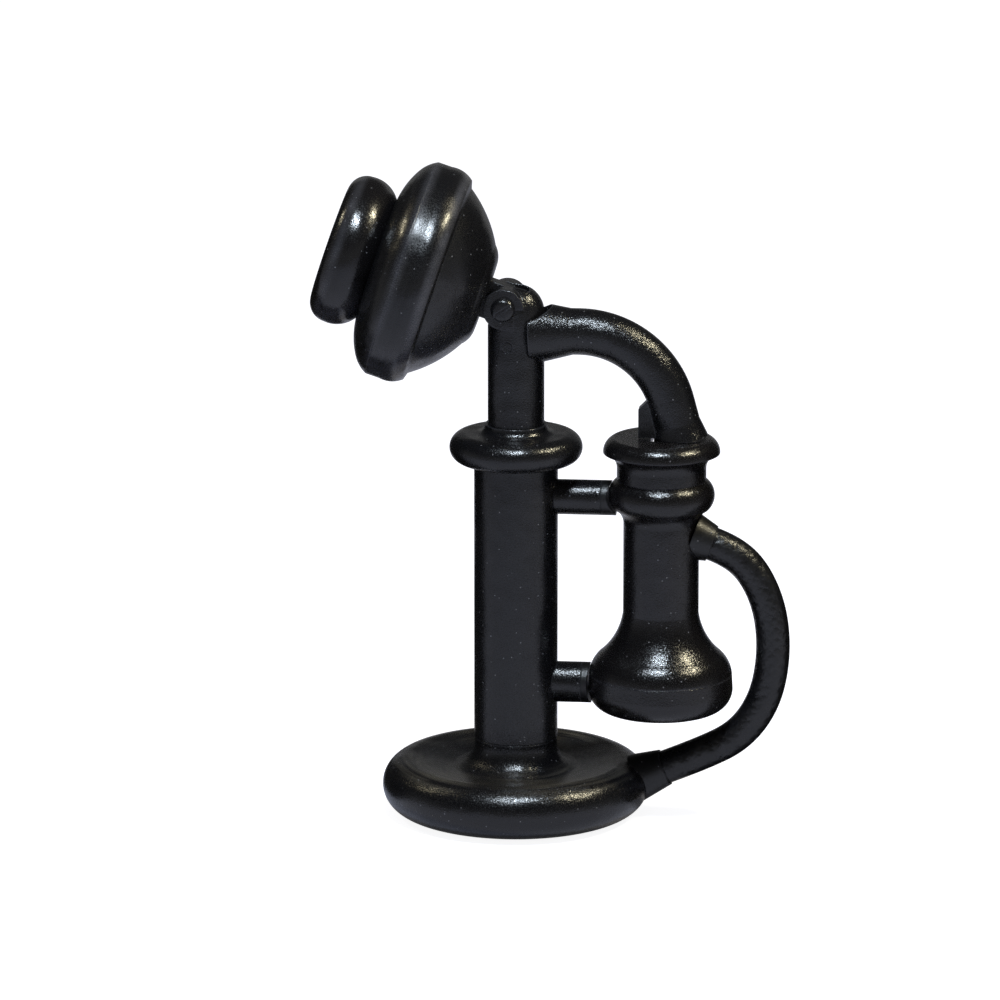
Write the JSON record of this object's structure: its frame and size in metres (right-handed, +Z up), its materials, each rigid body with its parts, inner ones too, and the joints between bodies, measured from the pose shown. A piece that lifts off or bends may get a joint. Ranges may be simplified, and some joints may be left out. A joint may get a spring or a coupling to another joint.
{
  "type": "candlestick telephone",
  "caption": "Upright desk telephone with a round base, slim stem, tilting transmitter with a mouthpiece, and a receiver hanging from a switch hook, joined to the base by a thick cord.",
  "frame": {"origin": "centre of the base's underside, on the stem's axis", "axes": "+Z up along the stem, -X towards the mouthpiece, +X towards the hanging receiver"},
  "size_m": [0.213, 0.119, 0.2942],
  "materials": {
    "black_casting": "glossy black enamel on a slightly rough casting",
    "black_enamel": "glossy black enamel with a fine grain",
    "hard_rubber": "glossy black hard rubber",
    "soft_rubber": "black rubber",
    "cord_braid": "black varnished braid",
    "felt": "black felt",
    "steel_plate": "plain steel sheet",
    "steel": "plain steel, blackened where it shows",
    "brass": "plain brass",
    "insulator": "moulded insulating board",
    "thin_aluminium": "bright sheet",
    "winding": "silk covered wire"
  },
  "bodies": {
    "stand": {"base_shell": "black_casting", "base_plate": "steel_plate", "base_felt": "felt", "base_plate_screws": "steel", "stem_nut": "brass", "terminal_block": "insulator", "terminal_screws": "brass", "base_cord_sleeve": "soft_rubber", "stem_tube": "black_enamel", "stem_collar": "black_enamel", "neck_post": "black_enamel", "hook_pivot_pin": "steel", "transmitter_bolt": "steel", "transmitter_nut": "steel", "plunger_guide": "insulator", "spring_block": "insulator", "contact_springs": "brass", "spring_screws": "brass", "upper_rest_peg": "black_enamel", "lower_rest_peg": "black_enamel", "upper_rest_pad": "soft_rubber", "lower_rest_pad": "soft_rubber", "receiver_cord": "cord_braid"},
    "hook": {"hook_arm": "black_enamel"},
    "plunger": {"plunger_rod": "insulator", "contact_ring": "brass"},
    "transmitter": {"transmitter_cup": "black_enamel", "transmitter_face": "black_enamel", "mouthpiece": "hard_rubber", "transmitter_diaphragm": "thin_aluminium", "diaphragm_gasket": "soft_rubber", "carbon_button": "brass", "button_bridge": "steel", "bridge_screws": "steel"},
    "receiver": {"receiver_cap": "hard_rubber", "receiver_shell": "hard_rubber", "ear_cap": "hard_rubber", "receiver_diaphragm": "steel", "receiver_magnet": "steel", "pole_pieces": "steel", "pole_coils": "winding", "receiver_terminals": "brass", "receiver_cord_bush": "soft_rubber"}
  },
  "joints": [
    {"name": "transmitter_tilt", "type": "hinge", "parent": "stand", "child": "transmitter", "pos_m": [-0.0047, 0, 0.2322], "axis": [0, 1, 0], "range_deg": [-20, 10]},
    {"name": "receiver_off", "type": "slide", "parent": "stand", "child": "receiver", "axis": [0.0675, -0.9929, 0.0983], "range_m": [0, 0.12], "deforming": ["receiver_cord"]},
    {"name": "hook_lift", "type": "hinge", "parent": "stand", "child": "hook", "pos_m": [-0.003, 0, 0.2152], "axis": [0, -1, 0], "range_deg": [0, 10]},
    {"name": "plunger_rise", "type": "slide", "parent": "stand", "child": "plunger", "axis": [0, 0, 1], "range_m": [0, 0.00131]}
  ],
  "couplings": [
    {"joint": "hook_lift", "follows": "receiver_off", "rad_per_m": 1.4537},
    {"joint": "plunger_rise", "follows": "receiver_off", "ratio": 0.010848}
  ]
}
